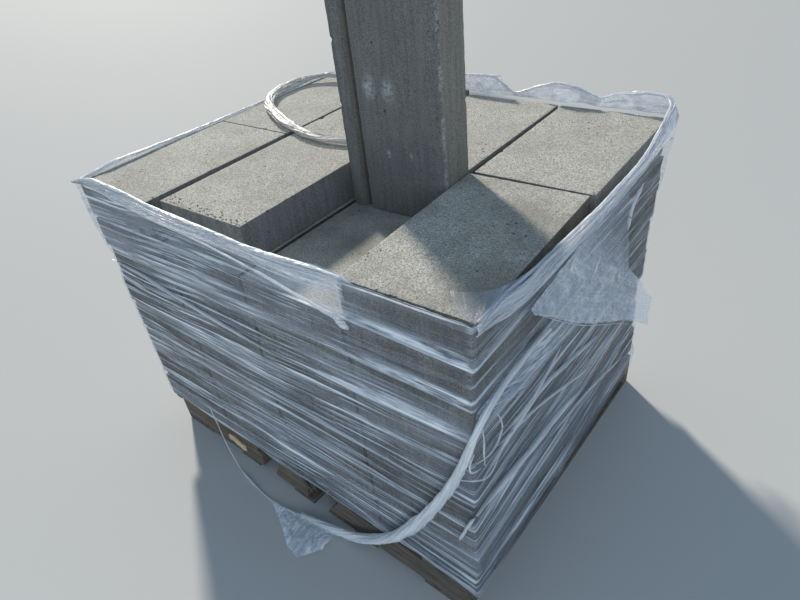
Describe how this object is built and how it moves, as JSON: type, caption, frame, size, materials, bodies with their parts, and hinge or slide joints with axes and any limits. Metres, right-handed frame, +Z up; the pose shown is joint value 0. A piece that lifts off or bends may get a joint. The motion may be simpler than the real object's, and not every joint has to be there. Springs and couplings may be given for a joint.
{
  "type": "pallet of concrete blocks",
  "caption": "Grooved concrete wall blocks stacked on a wooden pallet in stretch film, with one block lifted out of the top course and stood on its end.",
  "frame": {"origin": "middle of the stack's footprint, on the ground under the pallet", "axes": "+Z up, +X along the pallet's long side, +Y from the front long side to the back"},
  "size_m": [1.3062, 1.2307, 1.3454],
  "materials": {
    "concrete": "dry-cast, sandy",
    "timber": "weathered, rough-sawn",
    "film": "glossy, translucent stretch film"
  },
  "bodies": {
    "root": {"block_course_1": "concrete", "block_course_2": "concrete", "block_course_3": "concrete", "block_course_4": "concrete", "block_course_5": "concrete", "block_course_6": "concrete", "block_course_7": "concrete", "bottom_deck_board_1": "timber", "bottom_deck_board_2": "timber", "bottom_deck_board_3": "timber", "bottom_deck_board_4": "timber", "bottom_deck_board_5": "timber", "film_flap": "film", "film_loop": "film", "film_tail": "film", "film_tail_end": "film", "film_tail_strand": "film", "standing_block": "concrete", "stretch_film": "film", "stringer_back": "timber", "stringer_front_left": "timber", "stringer_front_middle": "timber", "stringer_front_right": "timber", "stringer_middle": "timber", "top_block_back_left": "concrete", "top_block_back_right": "concrete", "top_block_back_second": "concrete", "top_block_back_third": "concrete", "top_block_front_left": "concrete", "top_block_front_right": "concrete", "top_block_front_second": "concrete", "top_deck_board_1": "timber", "top_deck_board_2": "timber", "top_deck_board_3": "timber", "top_deck_board_4": "timber", "top_deck_board_5": "timber", "top_deck_board_6": "timber", "top_deck_board_7": "timber"}
  },
  "joints": []
}
